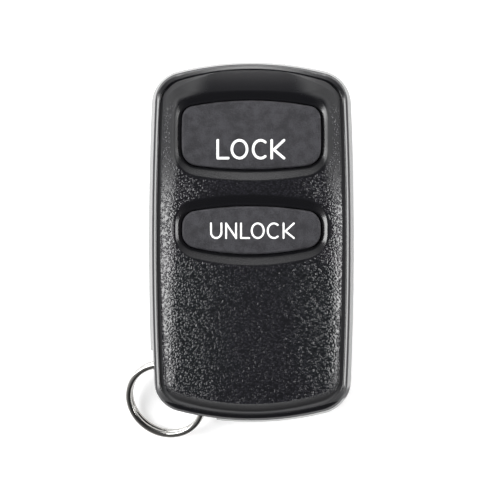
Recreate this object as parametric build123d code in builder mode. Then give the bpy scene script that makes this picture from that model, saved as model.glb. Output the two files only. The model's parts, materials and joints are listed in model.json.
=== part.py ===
from build123d import *
import os
from math import cos, radians, sin, sqrt

# Two-button car key fob, lying on its flat back with the buttons up.
# Millimetres. The origin is the middle of the back face, +Y points to the LOCK end, +Z up.

# Case outline, seen from the front
case_width = 34.2
case_length = 60.0
side_bulge_depth = 0.66
end_bulge_depth = 2.7
corner_radius = 5.7

# Case walls and edges
back_thickness = 1.5
wall_thickness = 1.5
rim_lean_width = 0.66
back_lean_width = 0.4
back_edge_radius = 1.6
seam_width = 0.12
lip_depth = 1.0
lip_clearance = 0.05
keypad_roof_thickness = 2.0
lower_roof_thickness = 1.9

# Rim bead, groove and raised field of the front
bead_width = 0.8
bead_slope_height = 0.4
bead_radius = 0.38
bead_crest_radius = 0.15
groove_width = 0.4
groove_depth = 0.5
field_height = 1.0
flank_width = 1.35
field_cross_depth = 0.25
roll_length = 3.2
hood_length = 6.1
foot_length = 1.4
end_step_height = 0.06

# Buttons: outline, place, wells
lock_side_margin = 5.575
lock_length_share = 0.18917
lock_side_bulge_depth = 0.15
lock_top_bulge_depth = 1.26
lock_bottom_bulge_depth = 0.95
lock_top_radius_share = 0.185
lock_bottom_radius_share = 0.238
lock_y_share = 0.2957
unlock_side_margin = 5.65
unlock_length_share = 0.13167
unlock_side_bulge_depth = 0.2
unlock_top_bulge_depth = 1.1
unlock_bottom_bulge_depth = 1.5
unlock_radius_share = 0.3165
unlock_y_share = 0.033
button_gap = 0.2
button_proud_height = 0.2
button_crown_radius = 46.0
button_edge_radius = 0.35
button_wall_thickness = 1.1
button_roof_thickness = 1.5
button_post_radius = 2.0
flange_width = 0.8
flange_height = 0.7
flange_clearance = 0.25
flange_gap = 0.05
well_width = 1.7
well_depth = 0.8
well_lip_radius = 0.45
rib_width = 0.8

# Silicone keypad membrane
membrane_inset = 2.6
membrane_low_share = -0.08
membrane_thickness = 0.6
membrane_skirt_width = 1.0
nub_radius = 1.3
nub_height = 0.2

# Circuit board
board_thickness = 1.0
board_clearance = 0.3
board_hole_clearance = 0.3
support_width = 1.4
support_length = 4.0
support_spacing = 26.0
support_y_share = 0.1

# Tact switches under the buttons
switch_width = 4.5
switch_cover_thickness = 0.15
switch_tab_width = 2.4
switch_well_radius = 1.7
switch_well_height = 0.4
switch_travel = 0.25
dome_thickness = 0.1
dome_radius = 1.6
plunger_radius = 1.0
plunger_height = 0.9
plunger_flange_radius = 1.4
plunger_flange_height = 0.3
plunger_clearance = 0.05

# Coin cell and its contacts
cell_radius = 10.0
cell_height = 1.6
cell_wall_thickness = 0.3
cell_seal_width = 0.6
cell_crimp_width = 0.45
cell_y_share = 0.133
cell_gap = 0.3
strip_thickness = 0.25
clip_width = 5.0
clip_foot_length = 1.5
contact_width = 3.0
contact_length = 7.0
contact_height = 0.55
contact_foot_length = 2.5

# Radio parts on the lower half of the board
chip_length = 8.65
chip_width = 3.9
chip_height = 1.45
chip_gap = 0.1
chip_x_share = -0.161
chip_y_share = -0.165
lead_count = 7
lead_spacing = 1.27
lead_width = 0.4
lead_length = 1.05
lead_thickness = 0.2
resonator_x_share = 0.234
resonator_y_share = -0.183
resonator_radius = 3.6
resonator_flange_width = 0.5
resonator_base_thickness = 0.5
resonator_height = 2.7
resonator_edge_radius = 0.4
transistor_x_share = 0.19
transistor_y_share = -0.293
transistor_length = 2.9
transistor_width = 1.3
transistor_height = 0.95
trimmer_x_share = 0.222
trimmer_y_share = -0.36
trimmer_width = 4.0
trimmer_height = 1.1
rotor_radius = 1.5
rotor_height = 0.4
rotor_slot_width = 0.4
passive_length = 1.6
passive_width = 0.8
passive_spacing = 2.2
capacitor_height = 0.8
capacitor_x_share = 0.036
capacitor_y_share = -0.175
resistor_height = 0.45
resistor_x_share = 0.3275
resistor_y_share = -0.3235
antenna_width = 0.8
antenna_thickness = 0.15
antenna_inset = 2.6
antenna_high_share = -0.2833

# Case screw, from the back
screw_y_share = -0.3583
screw_radius = 1.0
screw_head_radius = 1.9
screw_sink_depth = 0.2
screw_head_height = 1.0
screw_length = 7.4
screw_tip_length = 0.5
screw_clearance = 0.1
thread_clearance = 0.02
cross_length = 2.0
cross_width = 0.45
cross_depth = 0.7
boss_radius = 2.4
countersink_clearance = 0.05

# Split ring, two flat turns joined by a jog, leaning on the table
ring_diameter = 13.9
wire_width = 1.05
wire_height = 0.72
wire_edge_radius = 0.18
turn_gap = 0.5
jog_angle = 34.0
ring_lean_angle = 28.3
ring_heading_angle = 57.1

# Key ring slot and its post in the lower left corner
post_inset_x = 4.1
post_inset_y = 5.6
post_radius = 2.3
ring_offset_x = 1.21
ring_offset_y = 1.79
ring_clearance_x = 1.46
ring_clearance_y = 1.24
ring_clearance_z = 0.1
slot_floor_thickness = 1.8
slot_corner_radius = 6.2
slot_wall_thickness = 1.2

# One overrun for every cut that passes through a face
overrun = 1.0

os.makedirs("parts", exist_ok=True)

# Heights, stacked up from the back face
strip_bottom = back_thickness + cell_gap
cell_bottom = strip_bottom + strip_thickness
cell_top = cell_bottom + cell_height
board_height = cell_top + contact_height
parting_height = board_height + board_thickness
dome_height = switch_travel + dome_thickness
switch_floor = parting_height + switch_well_height
plunger_bottom = switch_floor + dome_height
switch_base_top = plunger_bottom + plunger_flange_height + plunger_clearance
nub_bottom = plunger_bottom + plunger_height
membrane_bottom = nub_bottom + nub_height
flange_bottom = membrane_bottom + membrane_thickness
keypad_ceiling = flange_bottom + flange_height + flange_gap
well_floor_height = keypad_ceiling + keypad_roof_thickness
crown_height = well_floor_height + well_depth
lower_ceiling = crown_height - lower_roof_thickness
button_top_height = crown_height + button_proud_height
rim_height = crown_height - field_height
groove_height = rim_height - groove_depth
bead_low_height = rim_height - bead_slope_height

# Insets from the case's widest line
bead_inset = rim_lean_width + bead_width
field_inset = bead_inset + groove_width
cavity_inset = rim_lean_width + wall_thickness

# Places
lock_width = case_width - 2 * lock_side_margin
unlock_width = case_width - 2 * unlock_side_margin
lock_length = case_length * lock_length_share
unlock_length = case_length * unlock_length_share
lock_top_radius = lock_length * lock_top_radius_share
lock_bottom_radius = lock_length * lock_bottom_radius_share
unlock_radius = unlock_length * unlock_radius_share
lock_y = case_length * lock_y_share
unlock_y = case_length * unlock_y_share
membrane_low_y = case_length * membrane_low_share
support_y = case_length * support_y_share
cell_y = case_length * cell_y_share
chip_x = case_width * chip_x_share
chip_y = case_length * chip_y_share
resonator_x = case_width * resonator_x_share
resonator_y = case_length * resonator_y_share
transistor_x = case_width * transistor_x_share
transistor_y = case_length * transistor_y_share
trimmer_x = case_width * trimmer_x_share
trimmer_y = case_length * trimmer_y_share
capacitor_x = case_width * capacitor_x_share
capacitor_y = case_length * capacitor_y_share
resistor_x = case_width * resistor_x_share
resistor_y = case_length * resistor_y_share
antenna_high_y = case_length * antenna_high_share
screw_y = case_length * screw_y_share

# The ring's lean, its place against the post, and the slot that it needs
lean = radians(ring_lean_angle)
heading = radians(ring_heading_angle)
wire_path_radius = (ring_diameter - wire_width) / 2
half_step = (wire_height + turn_gap) / 2
ring_rise = ring_diameter * sin(lean) + 2 * (half_step + wire_height / 2) * cos(lean)
post_x = post_inset_x - case_width / 2
post_y = post_inset_y - case_length / 2
ring_centre_x = post_x - ring_offset_x
ring_centre_y = post_y - ring_offset_y
slot_right = ring_centre_x + ring_diameter / 2 + ring_clearance_x
slot_high = ring_centre_y + ring_diameter / 2 + ring_clearance_y
slot_ceiling = ring_rise + ring_clearance_z


def level(height, x=0, y=0):
    """The horizontal plane at a height, with its origin over a place."""
    return Plane((x, y, height))


def barrel_face(width, length, side, top, bottom, top_radius, bottom_radius, grow):
    """A four-arc outline with rounded corners, grown all round."""
    half_width = width / 2 + grow
    half_length = length / 2 + grow
    corner_x = half_width - side
    top_y = half_length - top
    bottom_y = bottom - half_length
    middle_y = (top_y + bottom_y) / 2
    with BuildSketch() as sketch:
        with BuildLine():
            ThreePointArc((-corner_x, top_y), (0, half_length), (corner_x, top_y))
            ThreePointArc((corner_x, top_y), (half_width, middle_y), (corner_x, bottom_y))
            ThreePointArc((corner_x, bottom_y), (0, -half_length), (-corner_x, bottom_y))
            ThreePointArc((-corner_x, bottom_y), (-half_width, middle_y), (-corner_x, top_y))
        make_face()
        fillet(sketch.vertices().group_by(Axis.Y)[-1], top_radius + grow)
        fillet(sketch.vertices().group_by(Axis.Y)[0], bottom_radius + grow)
    return sketch.sketch


def case_face(inset):
    """The case outline, drawn in from its widest line."""
    return barrel_face(case_width, case_length, side_bulge_depth, end_bulge_depth,
                       end_bulge_depth, corner_radius, corner_radius, -inset)


def field_face(inset):
    """The raised field's outline, which runs into the bead at the LOCK end."""
    face = barrel_face(case_width, case_length + 2 * groove_width, side_bulge_depth,
                       end_bulge_depth, end_bulge_depth, corner_radius, corner_radius, -inset)
    return face.moved(Location((0, groove_width)))


def lock_face(grow):
    return barrel_face(lock_width, lock_length, lock_side_bulge_depth, lock_top_bulge_depth,
                       lock_bottom_bulge_depth, lock_top_radius, lock_bottom_radius, grow)


def unlock_face(grow):
    return barrel_face(unlock_width, unlock_length, unlock_side_bulge_depth,
                       unlock_top_bulge_depth, unlock_bottom_bulge_depth,
                       unlock_radius, unlock_radius, grow)


def slot_face(grow):
    """The corner cut for the key ring: all of the corner up to a rounded inner edge."""
    left = -case_width / 2 - overrun
    low = -case_length / 2 - overrun
    right = slot_right + grow
    high = slot_high + grow
    with BuildSketch() as sketch:
        with BuildLine():
            Polyline((left, high), (left, low), (right, low), (right, high), close=True)
        make_face()
        fillet(sketch.vertices().sort_by_distance((right, high))[0], slot_corner_radius + grow)
    return sketch.sketch


buttons = {"lock": (lock_face, lock_y), "unlock": (unlock_face, unlock_y)}

# Raised field of the front: sloped flanks under a crown that falls to all sides
field_low_end = case_length / 2 - field_inset
field_high_end = field_low_end + 2 * groove_width
field_half = case_width / 2 - field_inset
field_rise = crown_height - groove_height
with BuildPart() as field:
    with BuildSketch(level(groove_height)):
        add(field_face(field_inset))
    with BuildSketch(level(crown_height + overrun)):
        add(field_face(field_inset + flank_width * (field_rise + overrun) / field_rise))
    loft(ruled=True)
    with BuildSketch(Plane.XZ):
        with BuildLine():
            crown_end = field_half - roll_length
            crown_arc = ThreePointArc((-crown_end, crown_height - field_cross_depth),
                                      (0, crown_height),
                                      (crown_end, crown_height - field_cross_depth))
            TangentArc(crown_arc @ 0, (-field_half, groove_height + end_step_height),
                       tangent=-(crown_arc % 0))
            TangentArc(crown_arc @ 1, (field_half, groove_height + end_step_height),
                       tangent=crown_arc % 1)
            Polyline((field_half, groove_height + end_step_height), (field_half, 0),
                     (-field_half, 0), (-field_half, groove_height + end_step_height))
        make_face()
    extrude(amount=field_high_end, both=True, mode=Mode.INTERSECT)
    with BuildSketch(Plane.YZ):
        with BuildLine():
            foot_start = foot_length - field_low_end
            hood_start = field_high_end - hood_length
            TangentArc((foot_start, crown_height),
                       (-field_low_end, groove_height + end_step_height), tangent=(-1, 0))
            Line((foot_start, crown_height), (hood_start, crown_height))
            TangentArc((hood_start, crown_height),
                       (field_high_end, groove_height + end_step_height), tangent=(1, 0))
            Polyline((field_high_end, groove_height + end_step_height), (field_high_end, 0),
                     (-field_low_end, 0), (-field_low_end, groove_height + end_step_height))
        make_face()
    extrude(amount=field_half, both=True, mode=Mode.INTERSECT)

# Wells around the buttons: cutters that widen upwards
well_rise = crown_height - well_floor_height
well_middle = well_floor_height + well_rise / 2
with BuildPart() as wells:
    for face_of, y in buttons.values():
        with BuildSketch(level(well_floor_height, y=y)):
            add(face_of(button_gap))
        with BuildSketch(level(well_floor_height + 2 * well_rise, y=y)):
            add(face_of(button_gap + 2 * well_width))
        loft(ruled=True)

# Front shell
with BuildPart() as front_shell:
    with BuildSketch(level(parting_height)):
        add(case_face(seam_width))
    with BuildSketch(level(parting_height + seam_width)):
        add(case_face(0))
    loft(ruled=True)
    with BuildSketch(level(parting_height + seam_width)):
        add(case_face(0))
    with BuildSketch(level(bead_low_height)):
        add(case_face(rim_lean_width))
    loft(ruled=True)
    with BuildSketch(level(bead_low_height)):
        add(case_face(rim_lean_width))
    with BuildSketch(level(rim_height)):
        add(case_face(bead_inset))
    loft(ruled=True)
    with BuildSketch(level(groove_height)):
        add(case_face(bead_inset))
    extrude(amount=groove_depth, mode=Mode.SUBTRACT)
    fillet(front_shell.edges().filter_by_position(Axis.Z, bead_low_height, bead_low_height),
           bead_radius)
    fillet(front_shell.edges().filter_by_position(Axis.Z, rim_height, rim_height),
           bead_crest_radius)
    add(field.part)
    add(wells.part, mode=Mode.SUBTRACT)
    well_edges = front_shell.edges(Select.LAST)
    fillet(well_edges.filter_by(lambda edge: edge.center().Z > well_middle), well_lip_radius)
    # Room inside, lower over the keypad than over the radio parts
    with BuildSketch(level(parting_height)):
        add(case_face(cavity_inset))
        add(slot_face(slot_wall_thickness), mode=Mode.SUBTRACT)
    extrude(amount=keypad_ceiling - parting_height, mode=Mode.SUBTRACT)
    with BuildSketch(level(keypad_ceiling)):
        add(case_face(cavity_inset))
        add(slot_face(slot_wall_thickness), mode=Mode.SUBTRACT)
        with Locations((0, membrane_low_y)):
            Rectangle(case_width, case_length, align=(Align.CENTER, Align.MAX),
                      mode=Mode.INTERSECT)
    extrude(amount=lower_ceiling - keypad_ceiling, mode=Mode.SUBTRACT)
    # Guide ribs around the button flanges, then the openings
    for face_of, y in buttons.values():
        with BuildSketch(level(flange_bottom, y=y)):
            add(face_of(flange_width + flange_clearance + rib_width))
            add(face_of(flange_width + flange_clearance), mode=Mode.SUBTRACT)
        extrude(amount=keypad_ceiling - flange_bottom)
        with BuildSketch(level(keypad_ceiling, y=y)):
            add(face_of(button_gap))
        extrude(amount=crown_height - keypad_ceiling, mode=Mode.SUBTRACT)
    # Lip into the rear shell
    with BuildSketch(level(parting_height)):
        add(case_face(wall_thickness / 2 + lip_clearance))
        add(case_face(wall_thickness), mode=Mode.SUBTRACT)
        add(slot_face(slot_wall_thickness), mode=Mode.SUBTRACT)
    extrude(amount=-lip_depth)
    # Screw boss
    with BuildSketch(level(parting_height, 0, screw_y)):
        Circle(boss_radius)
    extrude(amount=lower_ceiling - parting_height)
    with BuildSketch(level(parting_height, 0, screw_y)):
        Circle(screw_radius + thread_clearance)
    extrude(amount=screw_sink_depth + screw_length + screw_clearance - parting_height,
            mode=Mode.SUBTRACT)
    # Key ring slot, around the post
    with BuildSketch(level(parting_height)):
        add(slot_face(0))
        with Locations((post_x, post_y)):
            Circle(post_radius, mode=Mode.SUBTRACT)
    extrude(amount=slot_ceiling - parting_height, mode=Mode.SUBTRACT)
front_shell.part.label = "front_shell"
export_step(front_shell.part, "parts/front_shell.step")

# Rear shell
with BuildPart() as rear_shell:
    with BuildSketch(level(0)):
        add(case_face(back_lean_width))
    with BuildSketch(level(parting_height - seam_width)):
        add(case_face(0))
    loft(ruled=True)
    fillet(rear_shell.edges().group_by(Axis.Z)[0], back_edge_radius)
    with BuildSketch(level(parting_height - seam_width)):
        add(case_face(0))
    with BuildSketch(level(parting_height)):
        add(case_face(seam_width))
    loft(ruled=True)
    with BuildSketch(level(back_thickness)):
        add(case_face(wall_thickness))
        add(slot_face(slot_wall_thickness), mode=Mode.SUBTRACT)
    extrude(amount=parting_height - back_thickness, mode=Mode.SUBTRACT)
    with BuildSketch(level(parting_height)):
        add(case_face(wall_thickness / 2))
        add(slot_face(slot_wall_thickness), mode=Mode.SUBTRACT)
    extrude(amount=-lip_depth - lip_clearance, mode=Mode.SUBTRACT)
    # Supports under the board
    with BuildSketch(level(back_thickness, y=support_y)):
        with GridLocations(case_width - 2 * wall_thickness - support_width - 2 * board_clearance,
                           support_spacing, 2, 2):
            Rectangle(support_width, support_length)
    extrude(amount=board_height - back_thickness)
    # Screw boss with its countersink
    with BuildSketch(level(back_thickness, 0, screw_y)):
        Circle(boss_radius)
    extrude(amount=board_height - back_thickness)
    with BuildSketch(level(0, 0, screw_y)):
        Circle(screw_radius + screw_clearance)
    extrude(amount=board_height, mode=Mode.SUBTRACT)
    with BuildSketch(level(0, 0, screw_y)):
        Circle(screw_head_radius + countersink_clearance)
    extrude(amount=screw_sink_depth, mode=Mode.SUBTRACT)
    with BuildSketch(level(screw_sink_depth, 0, screw_y)):
        Circle(screw_head_radius + countersink_clearance)
    with BuildSketch(level(screw_sink_depth + screw_head_height, 0, screw_y)):
        Circle(screw_radius + countersink_clearance)
    loft(ruled=True, mode=Mode.SUBTRACT)
    # Key ring slot, around the post
    with BuildSketch(level(slot_floor_thickness)):
        add(slot_face(0))
        with Locations((post_x, post_y)):
            Circle(post_radius, mode=Mode.SUBTRACT)
    extrude(amount=parting_height - slot_floor_thickness, mode=Mode.SUBTRACT)
rear_shell.part.label = "rear_shell"
export_step(rear_shell.part, "parts/rear_shell.step")


def button_solid(face_of, y):
    """A hollow button with a retaining flange, a crowned top and a middle post."""
    with BuildPart() as button:
        with BuildSketch(level(flange_bottom, y=y)):
            add(face_of(0))
        extrude(amount=button_top_height - flange_bottom)
        with BuildSketch(Plane(origin=(0, y, button_top_height - button_crown_radius),
                               x_dir=(0, 1, 0), z_dir=(1, 0, 0))):
            Circle(button_crown_radius)
        extrude(amount=case_width, both=True, mode=Mode.INTERSECT)
        fillet(button.faces().sort_by(Axis.Z)[-1].edges(), button_edge_radius)
        with BuildSketch(level(flange_bottom, y=y)):
            add(face_of(flange_width))
        extrude(amount=flange_height)
        with BuildSketch(level(flange_bottom, y=y)):
            add(face_of(-button_wall_thickness))
            Circle(button_post_radius, mode=Mode.SUBTRACT)
        extrude(amount=button_top_height - button_roof_thickness - flange_bottom, mode=Mode.SUBTRACT)
    return button.part


# Buttons
for name, (face_of, y) in buttons.items():
    button = button_solid(face_of, y)
    button.label = f"{name}_button"
    export_step(button, f"parts/{name}_button.step")

# Keypad membrane: a plate on a skirt that stands on the board, with a nub over each switch
with BuildSketch() as membrane_face:
    add(case_face(membrane_inset))
    with Locations((0, membrane_low_y)):
        Rectangle(case_width, case_length, align=(Align.CENTER, Align.MIN),
                  mode=Mode.INTERSECT)
with BuildPart() as keypad_membrane:
    with BuildSketch(level(parting_height)):
        add(membrane_face.sketch)
    extrude(amount=flange_bottom - parting_height)
    with BuildSketch(level(parting_height)):
        add(membrane_face.sketch)
        offset(amount=-membrane_skirt_width, mode=Mode.REPLACE)
    extrude(amount=membrane_bottom - parting_height, mode=Mode.SUBTRACT)
    for face_of, y in buttons.values():
        with BuildSketch(level(nub_bottom, y=y)):
            Circle(nub_radius)
        extrude(amount=nub_height)
keypad_membrane.part.label = "keypad_membrane"
export_step(keypad_membrane.part, "parts/keypad_membrane.step")

# Circuit board
with BuildPart() as circuit_board:
    with BuildSketch(level(board_height)):
        add(case_face(wall_thickness + board_clearance))
        add(slot_face(slot_wall_thickness + board_clearance), mode=Mode.SUBTRACT)
        with Locations((0, screw_y)):
            Circle(screw_radius + board_hole_clearance, mode=Mode.SUBTRACT)
    extrude(amount=board_thickness)
circuit_board.part.label = "circuit_board"
export_step(circuit_board.part, "parts/circuit_board.step")


def switch_base(y):
    with BuildPart() as base:
        with BuildSketch(level(parting_height, y=y)):
            Rectangle(switch_width, switch_width)
        extrude(amount=switch_base_top - parting_height)
        with BuildSketch(level(switch_floor, y=y)):
            Circle(switch_well_radius)
        extrude(amount=switch_base_top - switch_floor, mode=Mode.SUBTRACT)
    return base.part


def switch_cover_solid(y):
    """A plate over the base with a tab bent down each side."""
    with BuildPart() as cover:
        with BuildSketch(level(switch_base_top, y=y)):
            Rectangle(switch_width + 2 * switch_cover_thickness, switch_width)
            Circle(plunger_radius + plunger_clearance, mode=Mode.SUBTRACT)
        extrude(amount=switch_cover_thickness)
        with BuildSketch(level(parting_height, y=y)):
            with GridLocations(switch_width + switch_cover_thickness, 0, 2, 1):
                Rectangle(switch_cover_thickness, switch_tab_width)
        extrude(amount=switch_base_top - parting_height)
    return cover.part


def switch_plunger(y):
    with BuildPart() as plunger:
        with BuildSketch(level(plunger_bottom, y=y)):
            Circle(plunger_flange_radius)
        extrude(amount=plunger_flange_height)
        with BuildSketch(level(plunger_bottom, y=y)):
            Circle(plunger_radius)
        extrude(amount=plunger_height)
    return plunger.part


def switch_dome(y):
    """A thin snap dome that stands on its rim."""
    with BuildPart() as dome:
        with BuildSketch(Plane.XZ.offset(-y)):
            with BuildLine():
                Line((0, switch_floor + dome_height - dome_thickness), (0, switch_floor + dome_height))
                TangentArc((0, switch_floor + dome_height),
                           (dome_radius, switch_floor + dome_thickness), tangent=(1, 0))
                Line((dome_radius, switch_floor + dome_thickness), (dome_radius, switch_floor))
                TangentArc((0, switch_floor + dome_height - dome_thickness),
                           (dome_radius, switch_floor), tangent=(1, 0))
            make_face()
        revolve(axis=Axis((0, y, 0), (0, 0, 1)))
    return dome.part


# Tact switches, one under each button
for name, (face_of, y) in buttons.items():
    switch_parts = {"base": switch_base(y), "cover": switch_cover_solid(y),
                    "plunger": switch_plunger(y), "dome": switch_dome(y)}
    for part_name, solid in switch_parts.items():
        solid.label = f"{name}_switch_{part_name}"
        export_step(solid, f"parts/{name}_switch_{part_name}.step")

# Coin cell: the can below, the cap above, the seal between them
cell_axis = Axis((0, cell_y, 0), (0, 0, 1))
cell_plane = Plane(origin=(0, cell_y, cell_bottom), x_dir=(1, 0, 0), z_dir=(0, -1, 0))
seal_outer = cell_radius - cell_wall_thickness
seal_inner = seal_outer - cell_seal_width
with BuildPart() as cell_can:
    with BuildSketch(cell_plane):
        with BuildLine():
            Polyline((0, 0), (cell_radius, 0), (cell_radius, cell_height),
                     (cell_radius - cell_crimp_width, cell_height),
                     (seal_outer, cell_height - cell_wall_thickness), (seal_outer, cell_wall_thickness),
                     (0, cell_wall_thickness), close=True)
        make_face()
    revolve(axis=cell_axis)
cell_can.part.label = "battery_can"
export_step(cell_can.part, "parts/battery_can.step")
with BuildPart() as cell_seal_ring:
    with BuildSketch(cell_plane):
        with BuildLine():
            Polyline((seal_inner, cell_wall_thickness), (seal_outer, cell_wall_thickness),
                     (seal_outer, cell_height - cell_wall_thickness),
                     (cell_radius - cell_crimp_width, cell_height), (seal_inner, cell_height),
                     close=True)
        make_face()
    revolve(axis=cell_axis)
cell_seal_ring.part.label = "battery_seal"
export_step(cell_seal_ring.part, "parts/battery_seal.step")
with BuildPart() as cell_cap:
    with BuildSketch(level(cell_bottom + cell_wall_thickness, 0, cell_y)):
        Circle(seal_inner)
    extrude(amount=cell_height - cell_wall_thickness)
cell_cap.part.label = "battery_cap"
export_step(cell_cap.part, "parts/battery_cap.step")

# Positive clip: a strap under the cell with a leg and a foot at each side
with BuildPart() as positive_clip:
    with BuildSketch(Plane(origin=(0, cell_y, 0), x_dir=(1, 0, 0), z_dir=(0, -1, 0))):
        with BuildLine():
            leg = cell_radius + cell_gap
            Polyline((-leg - clip_foot_length, board_height - strip_thickness),
                     (-leg - strip_thickness, board_height - strip_thickness),
                     (-leg - strip_thickness, cell_bottom - strip_thickness),
                     (leg + strip_thickness, cell_bottom - strip_thickness),
                     (leg + strip_thickness, board_height - strip_thickness),
                     (leg + clip_foot_length, board_height - strip_thickness),
                     (leg + clip_foot_length, board_height), (leg, board_height),
                     (leg, cell_bottom), (-leg, cell_bottom), (-leg, board_height),
                     (-leg - clip_foot_length, board_height), close=True)
        make_face()
    extrude(amount=clip_width / 2, both=True)
positive_clip.part.label = "battery_positive_clip"
export_step(positive_clip.part, "parts/battery_positive_clip.step")

# Negative contact: a foot on the board and a leaf that bends down to the cap
with BuildPart() as negative_contact:
    with BuildSketch(Plane(origin=(0, cell_y, 0), x_dir=(1, 0, 0), z_dir=(0, -1, 0))):
        with BuildLine():
            bend = contact_foot_length - contact_length / 2
            touch = contact_length / 2 - contact_foot_length
            Polyline((-contact_length / 2, board_height),
                     (-contact_length / 2, board_height - strip_thickness),
                     (bend, board_height - strip_thickness), (touch, cell_top),
                     (contact_length / 2, cell_top),
                     (contact_length / 2, cell_top + strip_thickness),
                     (touch, cell_top + strip_thickness), (bend, board_height), close=True)
        make_face()
    extrude(amount=contact_width / 2, both=True)
negative_contact.part.label = "battery_negative_contact"
export_step(negative_contact.part, "parts/battery_negative_contact.step")

# Encoder chip and its leads
chip_bottom = parting_height + chip_gap
lead_middle = chip_bottom + chip_height / 2
with BuildPart() as encoder_chip:
    with BuildSketch(level(chip_bottom, chip_x, chip_y)):
        Rectangle(chip_length, chip_width)
    extrude(amount=chip_height)
    chamfer(encoder_chip.faces().sort_by(Axis.Z)[-1].edges(), lead_thickness)
encoder_chip.part.label = "encoder_chip"
export_step(encoder_chip.part, "parts/encoder_chip.step")
with BuildSketch(Plane.YZ) as lead_profile:
    with BuildLine():
        Polyline((0, lead_middle), (lead_length / 2, lead_middle),
                 (lead_length / 2, parting_height + lead_thickness),
                 (lead_length, parting_height + lead_thickness), (lead_length, parting_height),
                 (lead_length / 2 - lead_thickness, parting_height),
                 (lead_length / 2 - lead_thickness, lead_middle - lead_thickness),
                 (0, lead_middle - lead_thickness), close=True)
    make_face()
with BuildPart() as chip_leads:
    with Locations((chip_x, chip_y + chip_width / 2, 0)):
        with GridLocations(lead_spacing, 0, lead_count, 1):
            add(extrude(lead_profile.sketch, amount=lead_width / 2, both=True,
                        mode=Mode.PRIVATE))
    mirror(about=Plane((0, chip_y, 0), x_dir=(1, 0, 0), z_dir=(0, 1, 0)))
chip_leads.part.label = "encoder_chip_leads"
export_step(chip_leads.part, "parts/encoder_chip_leads.step")

# Resonator: a drawn can on a flat base
with BuildPart() as resonator_base_disc:
    with BuildSketch(level(parting_height, resonator_x, resonator_y)):
        Circle(resonator_radius + resonator_flange_width)
    extrude(amount=resonator_base_thickness)
resonator_base_disc.part.label = "resonator_base"
export_step(resonator_base_disc.part, "parts/resonator_base.step")
with BuildPart() as resonator_can:
    with BuildSketch(level(parting_height + resonator_base_thickness, resonator_x, resonator_y)):
        Circle(resonator_radius)
    extrude(amount=resonator_height - resonator_base_thickness)
    fillet(resonator_can.edges().group_by(Axis.Z)[-1], resonator_edge_radius)
resonator_can.part.label = "resonator_can"
export_step(resonator_can.part, "parts/resonator_can.step")

# Oscillator transistor and its three leads
with BuildPart() as transistor:
    with BuildSketch(level(parting_height + chip_gap, transistor_x, transistor_y)):
        Rectangle(transistor_length, transistor_width)
    extrude(amount=transistor_height)
transistor.part.label = "oscillator_transistor"
export_step(transistor.part, "parts/oscillator_transistor.step")
with BuildPart() as transistor_leads:
    with BuildSketch(level(parting_height, transistor_x, transistor_y)):
        lead_y = (transistor_width + lead_length / 2) / 2
        with Locations((0, lead_y), (-transistor_length / 3, -lead_y),
                       (transistor_length / 3, -lead_y)):
            Rectangle(lead_width, lead_length / 2)
    extrude(amount=transistor_height / 2)
transistor_leads.part.label = "oscillator_transistor_leads"
export_step(transistor_leads.part, "parts/oscillator_transistor_leads.step")

# Trimmer capacitor: a square base with a slotted rotor
with BuildPart() as trimmer_base:
    with BuildSketch(level(parting_height, trimmer_x, trimmer_y)):
        Rectangle(trimmer_width, trimmer_width)
    extrude(amount=trimmer_height)
trimmer_base.part.label = "trimmer_base"
export_step(trimmer_base.part, "parts/trimmer_base.step")
with BuildPart() as trimmer_rotor:
    with BuildSketch(level(parting_height + trimmer_height, trimmer_x, trimmer_y)):
        Circle(rotor_radius)
    extrude(amount=rotor_height)
    with BuildSketch(level(parting_height + trimmer_height + rotor_height / 2,
                           trimmer_x, trimmer_y)):
        Rectangle(2 * rotor_radius, rotor_slot_width)
    extrude(amount=rotor_height / 2, mode=Mode.SUBTRACT)
trimmer_rotor.part.label = "trimmer_rotor"
export_step(trimmer_rotor.part, "parts/trimmer_rotor.step")

# Chip capacitors and resistors, in two columns
with BuildPart() as capacitors:
    with BuildSketch(level(parting_height, capacitor_x, capacitor_y)):
        with GridLocations(0, passive_spacing, 1, 4):
            Rectangle(passive_length, passive_width)
    extrude(amount=capacitor_height)
capacitors.part.label = "chip_capacitors"
export_step(capacitors.part, "parts/chip_capacitors.step")
with BuildPart() as resistors:
    with BuildSketch(level(parting_height, resistor_x, resistor_y)):
        with GridLocations(0, passive_spacing, 1, 3):
            Rectangle(passive_length, passive_width)
    extrude(amount=resistor_height)
resistors.part.label = "chip_resistors"
export_step(resistors.part, "parts/chip_resistors.step")

# Loop antenna: a flat copper strip along the board's lower right edge
with BuildPart() as loop_antenna:
    with BuildSketch(level(parting_height)):
        add(case_face(antenna_inset))
        add(case_face(antenna_inset + antenna_width), mode=Mode.SUBTRACT)
        with Locations((0, antenna_high_y)):
            Rectangle(case_width, case_length, align=(Align.MIN, Align.MAX),
                      mode=Mode.INTERSECT)
    extrude(amount=antenna_thickness)
loop_antenna.part.label = "loop_antenna"
export_step(loop_antenna.part, "parts/loop_antenna.step")

# Case screw
with BuildPart() as case_screw:
    with BuildSketch(level(screw_sink_depth, 0, screw_y)):
        Circle(screw_head_radius)
    with BuildSketch(level(screw_sink_depth + screw_head_height, 0, screw_y)):
        Circle(screw_radius)
    loft(ruled=True)
    with BuildSketch(level(screw_sink_depth + screw_head_height, 0, screw_y)):
        Circle(screw_radius)
    extrude(amount=screw_length - screw_head_height)
    chamfer(case_screw.edges().group_by(Axis.Z)[-1], screw_tip_length)
    with BuildSketch(level(screw_sink_depth, 0, screw_y)):
        Rectangle(cross_length, cross_width)
        Rectangle(cross_width, cross_length)
    extrude(amount=cross_depth, mode=Mode.SUBTRACT)
case_screw.part.label = "case_screw"
export_step(case_screw.part, "parts/case_screw.step")

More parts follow.
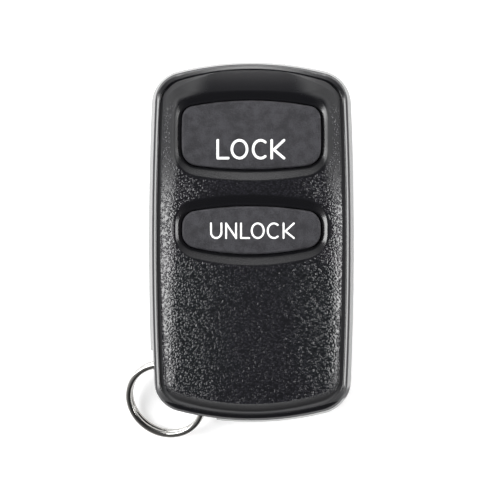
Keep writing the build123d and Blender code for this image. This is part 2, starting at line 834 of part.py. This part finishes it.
# Split ring: its own plane leans on the table and rises into the slot
ring_plane = Plane(origin=(ring_centre_x, ring_centre_y, ring_rise / 2),
                   x_dir=(cos(lean) * cos(heading), cos(lean) * sin(heading), sin(lean)),
                   z_dir=(-sin(lean) * cos(heading), -sin(lean) * sin(heading), cos(lean)))


def on_turn(angle, height):
    """A point of the wire's middle line, for a ring that lies flat about the origin."""
    return (wire_path_radius * cos(radians(angle)), wire_path_radius * sin(radians(angle)), height)


def flat_turn(height):
    """Three tangent arcs, from one side of the jog round to the other."""
    span = (360 - 2 * jog_angle) / 3
    for step in range(3):
        start = jog_angle + step * span
        ThreePointArc(on_turn(start, height), on_turn(start + span / 2, height),
                      on_turn(start + span, height))


jog_middle = (sqrt(wire_path_radius ** 2 + half_step ** 2), 0, 0)
jog_x = sin(radians(jog_angle))
jog_y = cos(radians(jog_angle))
with BuildPart() as flat_ring:
    with BuildLine() as wire_path:
        flat_turn(-half_step)
        TangentArc(on_turn(-jog_angle, -half_step), jog_middle, tangent=(jog_x, jog_y, 0))
        TangentArc(on_turn(jog_angle, half_step), jog_middle, tangent=(jog_x, -jog_y, 0))
        flat_turn(half_step)
    ring_wire = wire_path.wires()[0]
    with BuildSketch(Plane(origin=ring_wire @ 0, x_dir=(0, 0, 1), z_dir=ring_wire % 0)):
        RectangleRounded(wire_height, wire_width, wire_edge_radius)
    sweep(path=ring_wire)
split_ring = flat_ring.part.moved(ring_plane.location)
split_ring.label = "split_ring"
export_step(split_ring, "parts/split_ring.step")


def wire_gap(first, second):
    """Free space between the wire at two points, along or across the ring's axis."""
    apart = second - first
    along = abs(apart.Z) - wire_height
    across = sqrt(apart.X ** 2 + apart.Y ** 2) - wire_width
    return max(along, across)


# Least gap of the wire to itself, between points more than a quarter turn apart
ring_steps = 240
ring_points = [ring_wire @ (step / ring_steps) for step in range(ring_steps + 1)]
quarter = int(ring_steps * (ring_diameter / 2) / ring_wire.length)
least_gap = min(wire_gap(ring_points[low], ring_points[high])
                for low in range(ring_steps + 1)
                for high in range(low + quarter, ring_steps + 1))
print("split ring, least gap to itself:", round(least_gap, 3), "mm")
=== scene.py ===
import json
from math import cos, hypot, pi, radians, sin, sqrt

import bmesh
import bpy
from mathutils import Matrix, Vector


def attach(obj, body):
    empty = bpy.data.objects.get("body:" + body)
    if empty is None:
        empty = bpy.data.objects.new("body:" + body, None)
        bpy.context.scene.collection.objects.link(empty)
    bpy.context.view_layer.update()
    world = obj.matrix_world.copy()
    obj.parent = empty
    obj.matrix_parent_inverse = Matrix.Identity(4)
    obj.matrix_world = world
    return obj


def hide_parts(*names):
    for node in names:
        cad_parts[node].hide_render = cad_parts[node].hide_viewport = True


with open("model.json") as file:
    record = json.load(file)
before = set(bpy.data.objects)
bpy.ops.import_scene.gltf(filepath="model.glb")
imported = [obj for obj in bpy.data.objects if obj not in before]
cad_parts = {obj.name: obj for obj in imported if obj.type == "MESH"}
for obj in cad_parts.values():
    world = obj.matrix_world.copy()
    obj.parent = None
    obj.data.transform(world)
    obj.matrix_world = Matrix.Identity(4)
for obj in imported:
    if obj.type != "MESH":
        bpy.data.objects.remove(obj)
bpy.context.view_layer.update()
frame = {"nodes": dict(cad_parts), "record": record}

MM = 0.001
scene = bpy.context.scene

# Sizes of the CAD part that the looks need, in millimetres
CASE_LENGTH = 60.0
SIDE_BULGE = 0.66
FACE_HALF = 15.24
FACE_END = 28.14
BUTTON_TOP = 11.4
BUTTON_CROWN = 46.0
LOCK_Y = 17.742
UNLOCK_Y = 1.98

# Outlines seen from above: middle, half width, half height, upper bulge, lower bulge, corner
LOCK_OUTLINE = (LOCK_Y, 11.525, 5.675, 1.26, 0.95, 2.4)
UNLOCK_OUTLINE = (UNLOCK_Y, 11.45, 3.95, 1.1, 1.5, 2.5)
FACE_OUTLINE = (0.0, 15.3, 28.2, 2.7, 2.7, 3.84)

# The end values of a step that falls, and the span that a noise mostly stays in
FALL = (1.0, 0.0)
NOISE_SPAN = (0.3, 0.7)


class Shader:
    """A small helper for node materials: math on sockets or numbers."""

    def __init__(self, tree):
        self.tree = tree

    def node(self, kind, **values):
        made = self.tree.nodes.new(kind)
        for key, value in values.items():
            setattr(made, key, value)
        return made

    def feed(self, socket, value):
        """Links a socket to another one, or sets its value."""
        if isinstance(value, bpy.types.NodeSocket):
            self.tree.links.new(value, socket)
        else:
            socket.default_value = value

    def math(self, operation, *values):
        made = self.node("ShaderNodeMath", operation=operation)
        for socket, value in zip(made.inputs, values):
            self.feed(socket, value)
        return made.outputs[0]

    def times(self, *factors):
        """The product of several values."""
        product = factors[0]
        for factor in factors[1:]:
            product = self.math("MULTIPLY", product, factor)
        return product

    def step(self, value, limits, ends=(0.0, 1.0)):
        """A smooth step of a value between two limits, from one end value to the other."""
        made = self.node("ShaderNodeMapRange", interpolation_type="SMOOTHSTEP")
        for socket, number in zip(made.inputs, (value, *limits, *ends)):
            self.feed(socket, number)
        return made.outputs[0]

    def mix(self, factor, first, second):
        """A mix of two colours."""
        made = self.node("ShaderNodeMix", data_type="RGBA")
        self.feed(made.inputs[0], factor)
        self.feed(made.inputs[6], first)
        self.feed(made.inputs[7], second)
        return made.outputs[2]

    def blend(self, factor, first, second):
        """A mix of two numbers."""
        made = self.node("ShaderNodeMix", data_type="FLOAT")
        self.feed(made.inputs[0], factor)
        self.feed(made.inputs[2], first)
        self.feed(made.inputs[3], second)
        return made.outputs[0]

    def parts(self, vector):
        """The x, y and z of a place or a direction."""
        made = self.node("ShaderNodeSeparateXYZ")
        self.feed(made.inputs[0], vector)
        return made.outputs

    def noise(self, vector, scale, detail=2.0, rough=0.5, coloured=False):
        made = self.node("ShaderNodeTexNoise")
        self.feed(made.inputs["Vector"], vector)
        self.feed(made.inputs["Scale"], scale)
        self.feed(made.inputs["Detail"], detail)
        self.feed(made.inputs["Roughness"], rough)
        return made.outputs[1 if coloured else 0]

    def cells(self, vector, scale):
        """Distance to the middle of the nearest cell."""
        made = self.node("ShaderNodeTexVoronoi", feature="F1")
        self.feed(made.inputs["Vector"], vector)
        self.feed(made.inputs["Scale"], scale)
        return made.outputs["Distance"]

    def bump(self, height, distance, strength=1.0, normal=None):
        made = self.node("ShaderNodeBump")
        self.feed(made.inputs["Height"], height)
        self.feed(made.inputs["Strength"], strength)
        self.feed(made.inputs["Distance"], distance)
        if normal is not None:
            self.feed(made.inputs["Normal"], normal)
        return made.outputs[0]


def material(name, metallic=0.0, **sockets):
    """A Principled material, its helper, its main node and its place in millimetres."""
    made = bpy.data.materials.new(name)
    made.use_nodes = True
    shader = Shader(made.node_tree)
    principled = made.node_tree.nodes["Principled BSDF"]
    shader.feed(principled.inputs["Metallic"], metallic)
    for key, value in sockets.items():
        shader.feed(principled.inputs[key.replace("_", " ")], value)
    scaled = shader.node("ShaderNodeVectorMath", operation="SCALE")
    shader.feed(scaled.inputs[0], shader.node("ShaderNodeTexCoord").outputs["Object"])
    shader.feed(scaled.inputs["Scale"], 1 / MM)
    return made, shader, principled, scaled.outputs[0]


# Plain finishes: a broad noise and a fine one, added, mottle the colour
BROAD_SHARE = 0.12
MOTTLE_SPAN = (0.75, 1.25)
ROUGH_VARY = 0.06


def plain(name, base, rough, grain, depth, metallic=0.0, vary=0.15, **sockets):
    """A material with fine bump, roughness and colour variation at a grain size in mm."""
    made, shader, principled, place = material(name, metallic, **sockets)
    fine = shader.noise(place, 1.0 / grain, detail=4.0, rough=0.6)
    broad = shader.noise(place, BROAD_SHARE / grain)
    shade = shader.step(shader.math("ADD", broad, fine), MOTTLE_SPAN)
    dark = (*(value * (1 - vary) for value in base), 1)
    light = (*(value * (1 + vary) for value in base), 1)
    shader.feed(principled.inputs["Base Color"], shader.mix(shade, dark, light))
    shader.feed(principled.inputs["Roughness"],
                shader.step(fine, NOISE_SPAN, (rough - ROUGH_VARY, rough + ROUGH_VARY)))
    shader.feed(principled.inputs["Normal"], shader.bump(fine, depth * MM))
    return made


# Case: where the leather grain lies on the raised face, and where it fades, in millimetres
FACE_HEIGHT = (9.8, 9.95)
GRAIN_SIDE = (15.15, 15.3)
WELL_LIP = (1.75, 2.15)
GRAIN_TOP = (22.5, 26.5)
GRAIN_FOOT = (0.8, 1.7)
FOOT_BEND = 2.3
FADE_NOISE = 0.9
FADE_WANDER = 5.0

# Case: the grain is small pebbles on softer lumps, with a fine noise over both
PEBBLE_SCALE = 3.0
PEBBLE_REACH = (0.0, 0.75)
PEBBLE_HEIGHT = 0.5
PEBBLE_TIP = (0.45, 0.75)
DRIFT_NOISE = 1.6
DRIFT = 0.5
LUMP_NOISE = 2.6
LUMP_HEIGHT = 0.45
FINE_NOISE = 6.0
FINE_DEPTH = 0.002
GRAIN_DEPTH = 0.11

# Case: the grain is deeper at the sides, and shallower between the two buttons
DEPTH_SIDE = (4.0, 11.0)
DEPTH_SHARES = (0.79, 1.1)
BETWEEN_SIDE = (5.0, 11.0)
BETWEEN_SHARES = (0.68, 1.0)
BETWEEN_START = (4.5, 8.0)

# Case: roughness, the matt line along the rim and the matt band at the foot
CASE_IOR = 1.58
SMOOTH_ROUGH = (0.16, 0.22)
GRAIN_ROUGH = (0.16, 0.24)
MATT_ROUGH = 0.75
RIM_END = (23.0, 27.0)
RIM_SIDE = (15.4, 15.5)
RIM_LOW = (9.7, 9.8)
RIM_HIGH = (9.9, 10.0)
RIM_LOW_DROP = 1.6
RIM_HIGH_DROP = 0.35
FOOT_START = (-0.25, -0.1)
FOOT_MATT = 0.6

# Case: the raised face's flanks are duller beside the LOCK button, but for the pebbles' tips
DULL_INNER = (-3.6, -2.0)
DULL_OUTER = (0.0, 0.15)
DULL_START = (4.0, 16.0)
DULL_SIDE = (6.0, 12.0)
DULL_SHARES = (0.0, 0.82)
TIP_SHARES = (0.0, 0.95)

# Case: colours, with painted shade in the grain's creases, and the heights of a lighter band:
# painted light that lifts the shade in the groove around the raised face and on the rim's outer
# slope
CREASE_SHADE_BLACK = (0.006, 0.006, 0.0072, 1)
PEBBLE_BLACK = (0.015, 0.0145, 0.019, 1)
PAINTED_LIGHT_GREY = (0.035, 0.035, 0.037, 1)
PAINTED_LIGHT_LOW = (9.5, 9.6)
PAINTED_LIGHT_HIGH = (9.78, 9.95)


def outline_distance(shader, x, y, middle, half_x, half_y, high_bulge, low_bulge, radius):
    """How far outside a rounded outline with bulging ends a point of the face is."""
    local = shader.math("SUBTRACT", y, middle)
    upper = shader.math("GREATER_THAN", local, 0.0)
    bulge = shader.math("MULTIPLY_ADD", upper, high_bulge - low_bulge, low_bulge)
    share = shader.math("POWER", shader.math("DIVIDE", x, half_x), 2.0)
    bent = shader.math("MULTIPLY_ADD", share, bulge, shader.math("ABSOLUTE", local))
    out_y = shader.math("MAXIMUM", shader.math("SUBTRACT", bent, half_y - radius), 0.0)
    out_x = shader.math("SUBTRACT", shader.math("ABSOLUTE", x), half_x - radius)
    out_x = shader.math("MAXIMUM", out_x, 0.0)
    square = shader.math("MULTIPLY_ADD", out_x, out_x, shader.math("MULTIPLY", out_y, out_y))
    return shader.math("SUBTRACT", shader.math("SQRT", square), radius)


def above_foot(shader, x, y):
    """How far above the raised face's curved lower end a point of the face is."""
    across = shader.math("POWER", shader.math("DIVIDE", x, FACE_HALF), 2.0)
    return shader.math("SUBTRACT", shader.math("ADD", y, FACE_END),
                       shader.math("MULTIPLY", across, FOOT_BEND))


def grain_area(shader, place, x, y, z):
    """One where the face is grained, and zero on its lips, its two ends and the rim."""
    bow = shader.math("POWER", shader.math("DIVIDE", y, CASE_LENGTH / 2), 2.0)
    bowed = shader.math("MULTIPLY_ADD", bow, SIDE_BULGE, shader.math("ABSOLUTE", x))
    area = shader.times(shader.step(bowed, GRAIN_SIDE, FALL), shader.step(z, FACE_HEIGHT))
    for outline in (LOCK_OUTLINE, UNLOCK_OUTLINE):
        outside = outline_distance(shader, x, y, *outline)
        area = shader.times(area, shader.step(outside, WELL_LIP))
    wander = shader.noise(place, FADE_NOISE)
    high = shader.math("ADD", y, shader.math("MULTIPLY", wander, FADE_WANDER))
    return shader.times(area, shader.step(high, GRAIN_TOP, FALL),
                        shader.step(above_foot(shader, x, y), GRAIN_FOOT))


def leather(shader, place):
    """Small uneven pebbles with creases between them, and the grain's whole height."""
    drift = shader.node("ShaderNodeVectorMath", operation="MULTIPLY_ADD")
    shader.feed(drift.inputs[0], shader.noise(place, DRIFT_NOISE, coloured=True))
    shader.feed(drift.inputs[1], (DRIFT, DRIFT, DRIFT))
    shader.feed(drift.inputs[2], place)
    pebble = shader.step(shader.cells(drift.outputs[0], PEBBLE_SCALE), PEBBLE_REACH, FALL)
    lumps = shader.noise(place, LUMP_NOISE, detail=1.0, rough=0.4)
    lumps = shader.math("MULTIPLY", lumps, LUMP_HEIGHT)
    return pebble, shader.math("MULTIPLY_ADD", pebble, PEBBLE_HEIGHT, lumps)


def grain_share(shader, side, y):
    """How deep the grain is at a place, as a share of GRAIN_DEPTH."""
    between = shader.step(side, BETWEEN_SIDE, BETWEEN_SHARES)
    return shader.times(shader.step(side, DEPTH_SIDE, DEPTH_SHARES),
                        shader.step(y, BETWEEN_START, (1.0, between)))


def rim_matt(shader, side, y, z):
    """A matt line along the rim's outer edge, lower and broader at the two ends."""
    end = shader.step(shader.math("ABSOLUTE", y), RIM_END)
    low = shader.step(shader.math("MULTIPLY_ADD", end, RIM_LOW_DROP, z), RIM_LOW)
    high = shader.step(shader.math("MULTIPLY_ADD", end, RIM_HIGH_DROP, z), RIM_HIGH, FALL)
    return shader.times(low, high, shader.math("MAXIMUM", end, shader.step(side, RIM_SIDE)))


def foot_matt(shader, x, y):
    """A matt band below the grain at the foot."""
    foot = above_foot(shader, x, y)
    return shader.times(shader.step(foot, FOOT_START), shader.step(foot, GRAIN_FOOT, FALL),
                        FOOT_MATT)


def flank_matt(shader, x, y, z, tips):
    """The raised face's flanks beside the LOCK button, but for the pebbles' tips."""
    edge = outline_distance(shader, x, y, *FACE_OUTLINE)
    side = shader.math("ABSOLUTE", x)
    return shader.times(shader.step(edge, DULL_INNER), shader.step(edge, DULL_OUTER, FALL),
                        shader.step(y, DULL_START), shader.step(side, DULL_SIDE, DULL_SHARES),
                        shader.step(z, FACE_HEIGHT), shader.math("SUBTRACT", 1.0, tips))


def case_material():
    """Black moulded plastic: leather grain on the raised face, satin smooth elsewhere."""
    made, shader, principled, place = material("case_plastic", IOR=CASE_IOR)
    x, y, z = shader.parts(place)
    side = shader.math("ABSOLUTE", x)
    area = grain_area(shader, place, x, y, z)
    pebble, grain = leather(shader, place)
    fine = shader.noise(place, FINE_NOISE, detail=3.0, rough=0.6)

    strength = shader.times(area, grain_share(shader, side, y))
    grain_bump = shader.bump(grain, GRAIN_DEPTH * MM, strength)
    shader.feed(principled.inputs["Normal"],
                shader.bump(fine, FINE_DEPTH * MM, normal=grain_bump))

    tips = shader.times(area, shader.step(pebble, PEBBLE_TIP, TIP_SHARES))
    matt = rim_matt(shader, side, y, z)
    matt = shader.math("MAXIMUM", matt, foot_matt(shader, x, y))
    matt = shader.math("MAXIMUM", matt, flank_matt(shader, x, y, z, tips))
    rough = shader.blend(area, shader.step(fine, NOISE_SPAN, SMOOTH_ROUGH),
                         shader.step(fine, NOISE_SPAN, GRAIN_ROUGH))
    shader.feed(principled.inputs["Roughness"],
                shader.math("MULTIPLY_ADD", matt, MATT_ROUGH, rough))

    # Pebble tops take PEBBLE_BLACK and the creases between them a darker black: painted shade in
    # the grain's creases
    shade = shader.mix(shader.times(area, pebble), CREASE_SHADE_BLACK, PEBBLE_BLACK)
    # Lighter grey between these heights: painted light that lifts the shade in the groove around
    # the raised face and on the rim's outer slope
    painted_light = shader.times(shader.step(z, PAINTED_LIGHT_HIGH, FALL), shader.step(z, PAINTED_LIGHT_LOW))
    shader.feed(principled.inputs["Base Color"], shader.mix(painted_light, shade, PAINTED_LIGHT_GREY))
    return made


# Colour, roughness, and the size and depth in millimetres of the bumps, for each slot
FINISHES = {
    "button_plastic": dict(base=(0.0305, 0.03, 0.034), rough=0.6, grain=0.2, depth=0.08,
                           vary=0.32, Specular_IOR_Level=0.2),
    "silicone": dict(base=(0.24, 0.25, 0.27), rough=0.6, grain=0.3, depth=0.01),
    "screw_steel": dict(base=(0.36, 0.36, 0.38), rough=0.35, grain=0.2, depth=0.006, metallic=1.0),
    "board_green": dict(base=(0.03, 0.16, 0.06), rough=0.3, grain=0.5, depth=0.008),
    "chip_black": dict(base=(0.02, 0.02, 0.022), rough=0.55, grain=0.15, depth=0.008),
    "tin": dict(base=(0.6, 0.6, 0.58), rough=0.3, grain=0.2, depth=0.004, metallic=1.0),
    "sheet_steel": dict(base=(0.55, 0.55, 0.56), rough=0.3, grain=0.4, depth=0.003, metallic=1.0),
    "switch_black": dict(base=(0.03, 0.03, 0.03), rough=0.5, grain=0.2, depth=0.006),
    "plunger_brown": dict(base=(0.18, 0.09, 0.04), rough=0.35, grain=0.2, depth=0.004),
    "seal_grey": dict(base=(0.3, 0.3, 0.31), rough=0.4, grain=0.2, depth=0.004),
    "copper": dict(base=(0.75, 0.42, 0.24), rough=0.3, grain=0.3, depth=0.003, metallic=1.0),
    "ceramic_tan": dict(base=(0.42, 0.33, 0.22), rough=0.45, grain=0.1, depth=0.004),
    "ceramic_black": dict(base=(0.03, 0.03, 0.035), rough=0.4, grain=0.1, depth=0.004),
    "trimmer_brown": dict(base=(0.2, 0.12, 0.07), rough=0.5, grain=0.2, depth=0.006),
    "rotor_brass": dict(base=(0.72, 0.58, 0.3), rough=0.3, grain=0.1, depth=0.004, metallic=1.0),
    "ring_steel": dict(base=(0.54, 0.53, 0.51), rough=0.12, grain=0.25, depth=0.002,
                       metallic=1.0, vary=0.06),
    "lettering_white": dict(base=(0.92, 0.92, 0.92), rough=0.5, grain=0.08, depth=0.002,
                            vary=0.03),
}
materials = {name: plain(name, **finish) for name, finish in FINISHES.items()}
materials["case_plastic"] = case_material()
for part in frame["record"]["subparts"]:
    mesh = frame["nodes"][part["node"]].data
    mesh.materials.clear()
    mesh.materials.append(materials[part["material_slot"]])


def piece(name, mesh, body, look):
    """A new object that rides on a body."""
    made = bpy.data.objects.new(name, mesh)
    scene.collection.objects.link(made)
    made.data.materials.append(materials[look])
    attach(made, body)
    return made


# Lettering: plain round-ended strokes, printed on the buttons, in millimetres and degrees
INK_RISE = 0.004
INK_THICKNESS = 0.02
C_RADIUS = 0.56
C_OPENING = 52
K_JOINT = (0.18, 0.47)
U_BOWL = (0.55, 0.5)
LOCK_WORD = (("L", -5.77, -3.61), ("O", -3.43, -0.51), ("C", 0.08, 2.72), ("K", 3.15, 5.6))
UNLOCK_WORD = (("U", -6.82, -4.80), ("N", -4.32, -2.38), ("L", -1.86, -0.21), ("O", -0.09, 2.2),
               ("C", 2.55, 4.68), ("K", 5.17, 7.17))


def arc(centre, radii, start, end, count):
    """Points on part of an ellipse, in degrees."""
    angles = [radians(start + (end - start) * step / count) for step in range(count + 1)]
    return [(centre[0] + radii[0] * cos(angle), centre[1] + radii[1] * sin(angle))
            for angle in angles]


def glyph(letter, wide, high):
    """A letter's strokes in a box that starts at the origin."""
    if letter == "L":
        return [[(0, high), (0, 0), (wide, 0)]]
    if letter == "O":
        middle = (wide / 2, high / 2)
        return [arc(middle, middle, 0, 360, count=48)]
    if letter == "C":
        middle = (C_RADIUS * wide, high / 2)
        return [arc(middle, middle, C_OPENING, 360 - C_OPENING, count=36)]
    if letter == "K":
        joint = (K_JOINT[0] * wide, K_JOINT[1] * high)
        return [[(0, 0), (0, high)], [(wide, high), joint, (wide, 0)]]
    if letter == "U":
        bowl = min(U_BOWL[0] * wide, U_BOWL[1] * high)
        bend = arc((wide / 2, bowl), (wide / 2, bowl), 180, 360, count=24)
        return [[(0, high)] + bend + [(wide, high)]]
    if letter == "N":
        return [[(0, 0), (0, high), (wide, 0), (wide, high)]]


def distance_to(stroke, x, y):
    """Least distance from a point to a line of points."""
    least = float("inf")
    for (start_x, start_y), (end_x, end_y) in zip(stroke, stroke[1:]):
        run_x, run_y = end_x - start_x, end_y - start_y
        along = ((x - start_x) * run_x + (y - start_y) * run_y) / (run_x ** 2 + run_y ** 2)
        along = min(1.0, max(0.0, along))
        least = min(least, hypot(x - start_x - along * run_x, y - start_y - along * run_y))
    return least


def print_letter(mesh, strokes, left, low, wide, high, half, height_at, cell):
    """Adds one letter as a sheet: square cells inside its strokes, cut at their edge."""
    # An uneven margin keeps the lines between cells off the strokes' straight edges
    margin = half + 1.4 * cell
    columns = int((wide + 2 * margin) / cell) + 1
    rows = int((high + 2 * margin) / cell) + 1
    inside = {}
    for column in range(columns + 1):
        for row in range(rows + 1):
            x, y = column * cell - margin, row * cell - margin
            inside[column, row] = half - min(distance_to(stroke, x, y) for stroke in strokes)
    made = {}

    def vertex(key, column, row):
        if key not in made:
            x, y = left + column * cell - margin, low + row * cell - margin
            made[key] = mesh.verts.new((x * MM, y * MM, height_at(y) * MM))
        return made[key]

    for column in range(columns):
        for row in range(rows):
            corners = [(column, row), (column + 1, row), (column + 1, row + 1), (column, row + 1)]
            loop = []
            for first, second in zip(corners, corners[1:] + corners[:1]):
                if inside[first] > 0:
                    loop.append(vertex(first, *first))
                if (inside[first] > 0) != (inside[second] > 0):
                    share = inside[first] / (inside[first] - inside[second])
                    cut = [first[i] + share * (second[i] - first[i]) for i in range(2)]
                    loop.append(vertex(tuple(sorted((first, second))), *cut))
            if len(loop) >= 3:
                mesh.faces.new(loop)


def lettering(name, body, word, low, high, stroke, button_y, cell):
    """A printed word: each letter is (letter, left edge, right edge)."""

    def height_at(y):
        sag = BUTTON_CROWN - sqrt(BUTTON_CROWN ** 2 - (y - button_y) ** 2)
        return BUTTON_TOP - sag + INK_RISE

    half = stroke / 2
    mesh = bmesh.new()
    for letter, left, right in word:
        wide = right - left - stroke
        tall = high - low - stroke
        print_letter(mesh, glyph(letter, wide, tall), left + half, low + half, wide, tall,
                     half, height_at, cell)
    data = bpy.data.meshes.new(name)
    mesh.to_mesh(data)
    mesh.free()
    plate = piece(name, data, body, "lettering_white").modifiers.new("plate", "SOLIDIFY")
    plate.thickness = INK_THICKNESS * MM
    plate.offset = -1.0


lettering("lock_lettering", "lock_key", LOCK_WORD, low=13.68, high=17.05, stroke=0.42,
          button_y=LOCK_Y, cell=0.06)
lettering("unlock_lettering", "unlock_key", UNLOCK_WORD, low=0.54, high=3.25, stroke=0.3,
          button_y=UNLOCK_Y, cell=0.05)

# Split ring: two polished turns that touch, joined by a jog inside the case's corner
RING_DIAMETER = 13.9
RING_HALF_HEIGHT = 0.97
RING_PLACE = (-14.21, -26.19)
RING_LEAN = radians(28.3)
RING_HEADING = radians(57.1)
RING_STEPS = 420
JOG_DEGREES = 34.0
WIRE_WIDTH = 1.05
TURN_HEIGHT = 0.96
WIRE_CORNER = 0.2
WIRE_CROWN = 0.06
CORNER_STEPS = 4
TAPER_START = 0.25
TAPER_DEGREES = 3.0


def wire_profile():
    """Rounded section of the wire, with faces that bulge a little, as (out, up) points."""
    half_wide, half_high = WIRE_WIDTH / 2, TURN_HEIGHT / 2
    inset = WIRE_CROWN + WIRE_CORNER
    points = []
    for quarter, (across, up) in enumerate(((1, 1), (-1, 1), (-1, -1), (1, -1))):
        for step in range(CORNER_STEPS + 1):
            angle = radians(90 * (quarter + step / CORNER_STEPS))
            points.append((across * (half_wide - inset) + WIRE_CORNER * cos(angle),
                           up * (half_high - inset) + WIRE_CORNER * sin(angle)))
        points.append((0, up * half_high) if quarter % 2 == 0 else (across * half_wide, 0))
    return points


def split_ring():
    """The wire's section, carried along two turns with tapered ends."""
    level, rise = cos(RING_LEAN), sin(RING_LEAN)
    forward, sideways = cos(RING_HEADING), sin(RING_HEADING)
    centre = Vector((*RING_PLACE, RING_DIAMETER / 2 * rise + RING_HALF_HEIGHT * level))
    ahead = Vector((level * forward, level * sideways, rise))
    normal = Vector((-rise * forward, -rise * sideways, level))
    left = normal.cross(ahead)
    path_radius = (RING_DIAMETER - WIRE_WIDTH) / 2
    start, end = JOG_DEGREES, 720 - JOG_DEGREES
    profile = wire_profile()
    mesh = bmesh.new()
    rings = []
    for step in range(RING_STEPS + 1):
        angle = start + (end - start) * step / RING_STEPS
        share = min(1.0, max(0.0, (angle - 360 + JOG_DEGREES) / (2 * JOG_DEGREES)))
        lift = (share * share * (3 - 2 * share) * 2 - 1) * TURN_HEIGHT / 2
        taper = min(1.0, TAPER_START + sqrt(min(angle - start, end - angle) / TAPER_DEGREES))
        outward = ahead * cos(radians(angle)) + left * sin(radians(angle))
        ring = []
        for out, up in profile:
            place = centre + outward * (path_radius + out * taper) + normal * (lift + up * taper)
            ring.append(mesh.verts.new(place * MM))
        rings.append(ring)
    for first, second in zip(rings, rings[1:]):
        for i in range(len(profile)):
            j = (i + 1) % len(profile)
            mesh.faces.new((first[i], first[j], second[j], second[i]))
    mesh.faces.new(rings[0])
    mesh.faces.new(rings[-1])
    bmesh.ops.recalc_face_normals(mesh, faces=mesh.faces)
    data = bpy.data.meshes.new("polished_split_ring")
    mesh.to_mesh(data)
    mesh.free()
    data.shade_smooth()
    return piece("polished_split_ring", data, "key_ring", "ring_steel")


ring = split_ring()
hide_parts("split_ring")

# Floor: lit as plain paper, and white to the camera, to gloss and to glass
FLOOR_REACH = 3.0
FLOOR_GAP = 0.02
PAPER_WHITE = (0.85, 0.85, 0.85, 1)
PAPER_GLOW = 0.35


def floor():
    """A wide sheet of paper just below the back face."""
    mesh = bmesh.new()
    bmesh.ops.create_grid(mesh, x_segments=1, y_segments=1, size=FLOOR_REACH)
    data = bpy.data.meshes.new("floor")
    mesh.to_mesh(data)
    mesh.free()
    made = bpy.data.objects.new("floor", data)
    scene.collection.objects.link(made)
    made.location.z = -FLOOR_GAP * MM
    look = bpy.data.materials.new("floor_paper")
    look.use_nodes = True
    look.node_tree.nodes.clear()
    shader = Shader(look.node_tree)
    paper = shader.node("ShaderNodeBsdfDiffuse")
    shader.feed(paper.inputs["Color"], PAPER_WHITE)
    path = shader.node("ShaderNodeLightPath")
    seen = shader.math("MAXIMUM", path.outputs["Is Camera Ray"], path.outputs["Is Glossy Ray"])
    seen = shader.math("MAXIMUM", seen, path.outputs["Is Transmission Ray"])
    glow = shader.node("ShaderNodeEmission")
    shader.feed(glow.inputs["Strength"], shader.math("MULTIPLY", seen, PAPER_GLOW))
    both = shader.node("ShaderNodeAddShader")
    shader.feed(both.inputs[0], paper.outputs[0])
    shader.feed(both.inputs[1], glow.outputs[0])
    out = shader.node("ShaderNodeOutputMaterial")
    shader.feed(out.inputs[0], both.outputs[0])
    data.materials.append(look)


floor()


def lamp(name, place, wide, high, radiance):
    """A soft rectangular light, aimed at the origin, that the camera doesn't see."""
    data = bpy.data.lights.new(name, "AREA")
    data.shape = "RECTANGLE"
    data.size = wide
    data.size_y = high
    data.energy = radiance * pi * wide * high
    made = bpy.data.objects.new(name, data)
    scene.collection.objects.link(made)
    made.location = place
    made.rotation_euler = (-Vector(place)).to_track_quat("-Z", "Y").to_euler()
    made.visible_camera = False


lamp("left_light", (-0.26, 0.0, 0.205), wide=0.21, high=0.23, radiance=10.0)
lamp("right_light", (0.29, 0.0, 0.16), wide=0.18, high=0.19, radiance=10.0)
lamp("top_light", (0.0, 0.3, 0.13), wide=0.24, high=0.12, radiance=8.0)

# World: dark overhead, white at the horizon, and soft glows towards +Y and both sides
HORIZON = (0.08, 0.35)
HORIZON_LEVELS = (1.0, 0.03)
UPPER_POWER = 3.0
UPPER_STRENGTH = 2.4
UPPER_MOST = 0.7
SIDE_POWER = 3.0
SIDE_POWER_SLOPE = 0.6


def studio_world():
    """The air around the object, which lights it and shows in its gloss."""
    world = bpy.data.worlds.new("studio")
    world.use_nodes = True
    scene.world = world
    background = world.node_tree.nodes["Background"]
    shader = Shader(world.node_tree)
    x, y, z = shader.parts(shader.node("ShaderNodeTexCoord").outputs["Generated"])
    upper = shader.math("POWER", shader.math("MAXIMUM", y, 0.0), UPPER_POWER)
    upper = shader.math("MINIMUM", shader.math("MULTIPLY", upper, UPPER_STRENGTH), UPPER_MOST)
    power = shader.math("MULTIPLY_ADD", x, SIDE_POWER_SLOPE, SIDE_POWER)
    sides = shader.math("POWER", shader.math("ABSOLUTE", x), power)
    sky = shader.math("MAXIMUM", shader.math("MAXIMUM", upper, sides),
                      shader.step(z, HORIZON, HORIZON_LEVELS))
    shader.feed(background.inputs["Color"], (1, 1, 1, 1))
    shader.feed(background.inputs["Strength"], sky)


studio_world()

# Camera: straight above, from far enough that the view is almost parallel
# The scale in pixels per millimetre holds at SCALE_HEIGHT, in millimetres
PICTURE = 500
PIXELS_PER_MM = 5.99
ORIGIN_PIXEL = (251.35, 242.25)
CAMERA_DISTANCE = 0.6
SCALE_HEIGHT = 5.2
SENSOR = 36.0

camera_data = bpy.data.cameras.new("camera")
camera_data.sensor_width = SENSOR
camera_data.lens = SENSOR * CAMERA_DISTANCE / (PICTURE / PIXELS_PER_MM * MM)
camera = bpy.data.objects.new("camera", camera_data)
scene.collection.objects.link(camera)
camera.location = ((PICTURE / 2 - ORIGIN_PIXEL[0]) / PIXELS_PER_MM * MM,
                   (ORIGIN_PIXEL[1] - PICTURE / 2) / PIXELS_PER_MM * MM,
                   CAMERA_DISTANCE + SCALE_HEIGHT * MM)
scene.camera = camera
scene.view_settings.view_transform = "Standard"
